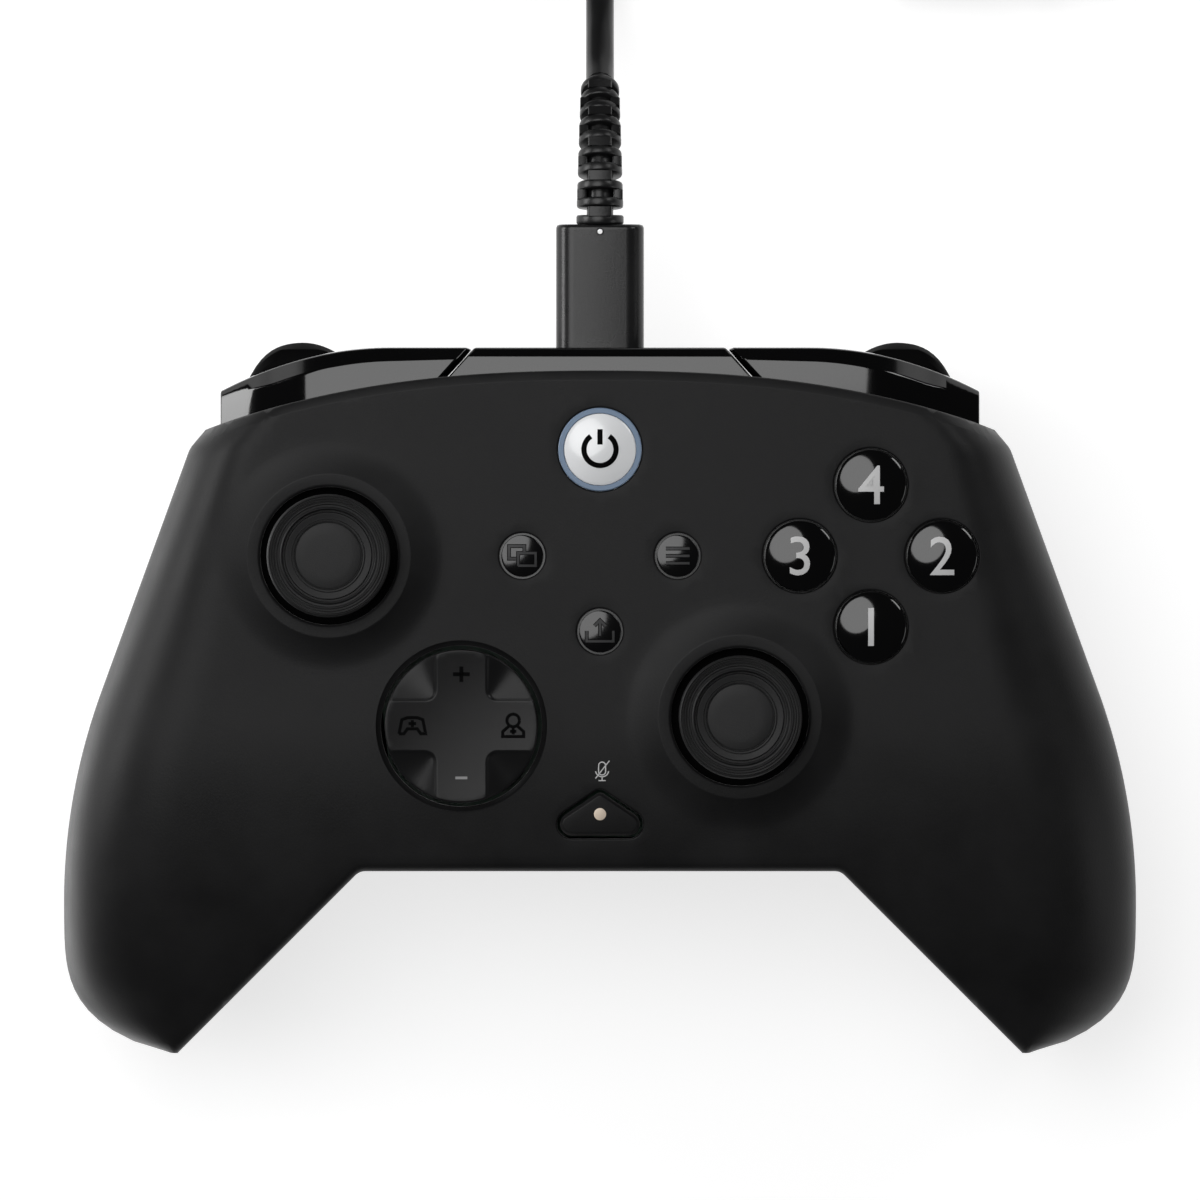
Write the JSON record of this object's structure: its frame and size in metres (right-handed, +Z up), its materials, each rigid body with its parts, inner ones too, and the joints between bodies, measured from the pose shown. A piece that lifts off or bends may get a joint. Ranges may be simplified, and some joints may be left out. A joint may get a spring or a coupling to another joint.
{
  "type": "gamepad controller",
  "caption": "Wired handheld game controller: two-shell grip housing with tilting thumbsticks, rocking direction pad, push buttons, bumpers, triggers, rumble motors and a coiled cable.",
  "frame": {"origin": "middle of the housing's outline on the table it rests on", "axes": "+X to the player's right, +Y away from the player towards the cable, +Z up through the face"},
  "size_m": [0.155, 0.2386, 0.0541],
  "materials": {
    "shell_matte": "fine moulded texture",
    "rear_matte": "fine moulded texture",
    "gloss_black": "polished",
    "button_gloss": "polished dome",
    "dpad_satin": "satin",
    "stick_rubber": "soft touch",
    "guide_pale": "translucent dome",
    "light_ring": "translucent ring",
    "mute_lens": "translucent dot",
    "inner_black": "as moulded",
    "inner_pale": "as moulded",
    "board_green": "solder mask",
    "steel": "plated",
    "silicone": "matte",
    "cable_black": "matte",
    "plug_black": "satin",
    "tie_black": "woven hook and loop"
  },
  "bodies": {
    "housing": {"front_shell": "shell_matte", "rear_shell": "rear_matte", "bridge_cover": "gloss_black", "shell_screws": "steel", "main_board": "board_green", "usb_c_socket": "steel", "headset_jack": "inner_black", "left_trigger_bracket": "inner_black", "right_trigger_bracket": "inner_black", "left_trigger_pin": "steel", "right_trigger_pin": "steel", "left_trigger_spring": "steel", "right_trigger_spring": "steel", "bumper_switches": "inner_black", "left_stick_frame": "inner_black", "right_stick_frame": "inner_black", "dpad_post": "inner_black", "dpad_mat": "silicone", "face_button_mat": "silicone", "guide_light_ring": "light_ring", "menu_mat": "silicone", "left_motor": "steel", "right_motor": "steel", "usb_c_plug": "plug_black", "strain_relief": "cable_black", "cord_lead": "cable_black", "cord_coil": "cable_black", "cord_tie": "tie_black", "cord_tail": "cable_black", "usb_a_grip": "plug_black", "usb_a_shell": "steel"},
    "left_bumper": {"left_bumper": "gloss_black"},
    "right_bumper": {"right_bumper": "gloss_black"},
    "left_trigger": {"left_trigger": "gloss_black"},
    "right_trigger": {"right_trigger": "gloss_black"},
    "dpad_hub": {"dpad_hub": "steel"},
    "dpad": {"dpad": "dpad_satin"},
    "button_north": {"button_north": "button_gloss"},
    "button_east": {"button_east": "button_gloss"},
    "button_south": {"button_south": "button_gloss"},
    "button_west": {"button_west": "button_gloss"},
    "guide_button": {"guide_button": "guide_pale"},
    "view_button": {"view_button": "button_gloss"},
    "menu_button": {"menu_button": "button_gloss"},
    "share_button": {"share_button": "button_gloss"},
    "mute_button": {"mute_button": "button_gloss", "mute_light": "mute_lens"},
    "left_motor_weight": {"left_motor_weight": "steel"},
    "right_motor_weight": {"right_motor_weight": "steel"},
    "left_stick_cradle": {"left_stick_cradle": "inner_pale"},
    "left_stick_arc": {"left_stick_arc": "inner_pale"},
    "left_stick_hub": {"left_stick_hub": "inner_pale"},
    "left_stick": {"left_stick_shaft": "steel", "left_stick_cap": "stick_rubber"},
    "right_stick_cradle": {"right_stick_cradle": "inner_pale"},
    "right_stick_arc": {"right_stick_arc": "inner_pale"},
    "right_stick_hub": {"right_stick_hub": "inner_pale"},
    "right_stick": {"right_stick_shaft": "steel", "right_stick_cap": "stick_rubber"}
  },
  "joints": [
    {"name": "left_bumper_press", "type": "hinge", "parent": "housing", "child": "left_bumper", "pos_m": [-0.026, 0.0412, 0.034], "axis": [0, 0, 1], "range_deg": [0, 2.5], "stiffness_Nm_per_rad": 2},
    {"name": "left_trigger_pull", "type": "hinge", "parent": "housing", "child": "left_trigger", "pos_m": [-0.0435, 0.038, 0.024], "axis": [1, 0, 0], "range_deg": [-16, 0], "stiffness_Nm_per_rad": 0.3, "deforming": ["left_trigger_spring"]},
    {"name": "right_bumper_press", "type": "hinge", "parent": "housing", "child": "right_bumper", "pos_m": [0.026, 0.0412, 0.034], "axis": [0, 0, 1], "range_deg": [-2.5, 0], "stiffness_Nm_per_rad": 2},
    {"name": "right_trigger_pull", "type": "hinge", "parent": "housing", "child": "right_trigger", "pos_m": [0.0435, 0.038, 0.024], "axis": [1, 0, 0], "range_deg": [-16, 0], "stiffness_Nm_per_rad": 0.3, "deforming": ["right_trigger_spring"]},
    {"name": "left_stick_tilt_forward", "type": "hinge", "parent": "housing", "child": "left_stick_cradle", "pos_m": [-0.0387, 0.0203, 0.035], "axis": [1, 0, 0], "range_deg": [-17, 17], "stiffness_Nm_per_rad": 0.05},
    {"name": "left_stick_tilt_side", "type": "hinge", "parent": "left_stick_cradle", "child": "left_stick_hub", "pos_m": [-0.0387, 0.0203, 0.035], "axis": [0, 1, 0], "range_deg": [-17, 17], "stiffness_Nm_per_rad": 0.05},
    {"name": "left_stick_click", "type": "slide", "parent": "left_stick_hub", "child": "left_stick", "axis": [0, 0, 1], "range_m": [-0.0005, 0], "stiffness_N_per_m": 3000},
    {"name": "left_stick_arc_turn", "type": "hinge", "parent": "housing", "child": "left_stick_arc", "pos_m": [-0.0387, 0.0203, 0.035], "axis": [0, 1, 0], "range_deg": [-17, 17]},
    {"name": "right_stick_tilt_forward", "type": "hinge", "parent": "housing", "child": "right_stick_cradle", "pos_m": [0.02, -0.0027, 0.035], "axis": [1, 0, 0], "range_deg": [-17, 17], "stiffness_Nm_per_rad": 0.05},
    {"name": "right_stick_tilt_side", "type": "hinge", "parent": "right_stick_cradle", "child": "right_stick_hub", "pos_m": [0.02, -0.0027, 0.035], "axis": [0, 1, 0], "range_deg": [-17, 17], "stiffness_Nm_per_rad": 0.05},
    {"name": "right_stick_click", "type": "slide", "parent": "right_stick_hub", "child": "right_stick", "axis": [0, 0, 1], "range_m": [-0.0005, 0], "stiffness_N_per_m": 3000},
    {"name": "right_stick_arc_turn", "type": "hinge", "parent": "housing", "child": "right_stick_arc", "pos_m": [0.02, -0.0027, 0.035], "axis": [0, 1, 0], "range_deg": [-17, 17]},
    {"name": "dpad_rock_forward", "type": "hinge", "parent": "housing", "child": "dpad_hub", "pos_m": [-0.0198, -0.004, 0.039], "axis": [1, 0, 0], "range_deg": [-4.5, 4.5], "stiffness_Nm_per_rad": 0.4, "deforming": ["dpad_mat"]},
    {"name": "dpad_rock_side", "type": "hinge", "parent": "dpad_hub", "child": "dpad", "pos_m": [-0.0198, -0.004, 0.039], "axis": [0, 1, 0], "range_deg": [-4.5, 4.5], "stiffness_Nm_per_rad": 0.4, "deforming": ["dpad_mat"]},
    {"name": "button_north_press", "type": "slide", "parent": "housing", "child": "button_north", "axis": [0, 0, 1], "range_m": [-0.0012, 0], "stiffness_N_per_m": 400, "deforming": ["face_button_mat"]},
    {"name": "button_east_press", "type": "slide", "parent": "housing", "child": "button_east", "axis": [0, 0, 1], "range_m": [-0.0012, 0], "stiffness_N_per_m": 400, "deforming": ["face_button_mat"]},
    {"name": "button_south_press", "type": "slide", "parent": "housing", "child": "button_south", "axis": [0, 0, 1], "range_m": [-0.0012, 0], "stiffness_N_per_m": 400, "deforming": ["face_button_mat"]},
    {"name": "button_west_press", "type": "slide", "parent": "housing", "child": "button_west", "axis": [0, 0, 1], "range_m": [-0.0012, 0], "stiffness_N_per_m": 400, "deforming": ["face_button_mat"]},
    {"name": "guide_button_press", "type": "slide", "parent": "housing", "child": "guide_button", "axis": [0, 0, 1], "range_m": [-0.0005, 0], "stiffness_N_per_m": 600, "deforming": ["menu_mat"]},
    {"name": "view_button_press", "type": "slide", "parent": "housing", "child": "view_button", "axis": [0, 0, 1], "range_m": [-0.0005, 0], "stiffness_N_per_m": 600, "deforming": ["menu_mat"]},
    {"name": "menu_button_press", "type": "slide", "parent": "housing", "child": "menu_button", "axis": [0, 0, 1], "range_m": [-0.0005, 0], "stiffness_N_per_m": 600, "deforming": ["menu_mat"]},
    {"name": "share_button_press", "type": "slide", "parent": "housing", "child": "share_button", "axis": [0, 0, 1], "range_m": [-0.0005, 0], "stiffness_N_per_m": 600, "deforming": ["menu_mat"]},
    {"name": "mute_button_press", "type": "slide", "parent": "housing", "child": "mute_button", "axis": [0, 0, 1], "range_m": [-0.0005, 0], "stiffness_N_per_m": 600, "deforming": ["menu_mat"]},
    {"name": "left_motor_spin", "type": "hinge", "parent": "housing", "child": "left_motor_weight", "pos_m": [-0.058, -0.025, 0.019], "axis": [0, 1, 0], "continuous": true},
    {"name": "right_motor_spin", "type": "hinge", "parent": "housing", "child": "right_motor_weight", "pos_m": [0.058, -0.025, 0.019], "axis": [0, 1, 0], "continuous": true}
  ],
  "couplings": [
    {"joint": "left_stick_arc_turn", "follows": "left_stick_tilt_side", "ratio": 1},
    {"joint": "right_stick_arc_turn", "follows": "right_stick_tilt_side", "ratio": 1}
  ]
}
